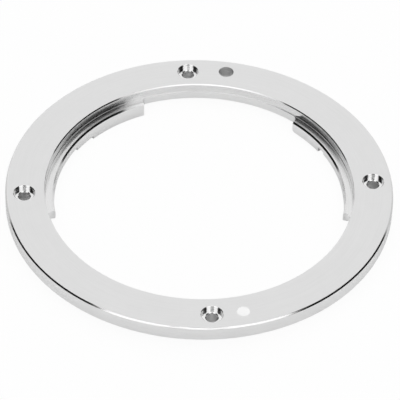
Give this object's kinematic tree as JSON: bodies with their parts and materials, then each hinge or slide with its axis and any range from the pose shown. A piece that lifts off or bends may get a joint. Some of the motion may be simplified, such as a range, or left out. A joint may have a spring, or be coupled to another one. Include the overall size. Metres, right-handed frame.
{
  "type": "camera lens mount ring",
  "caption": "Flat metal ring for the front of a camera body: counterbored screw holes, bayonet tabs inside its opening, a lock pin hole and a white index mark.",
  "frame": {"origin": "centre of the ring, at the level of its front face", "axes": "+Z out of the front face, towards the lens; +X through a screw hole; +Y through the next one, counter-clockwise seen from the front"},
  "size_m": [0.0614, 0.0614, 0.0041],
  "materials": {
    "ring_metal": "satin",
    "white_enamel": "smooth enamel"
  },
  "bodies": {
    "root": {"mount_ring": "ring_metal", "index_dot": "white_enamel"}
  },
  "joints": []
}
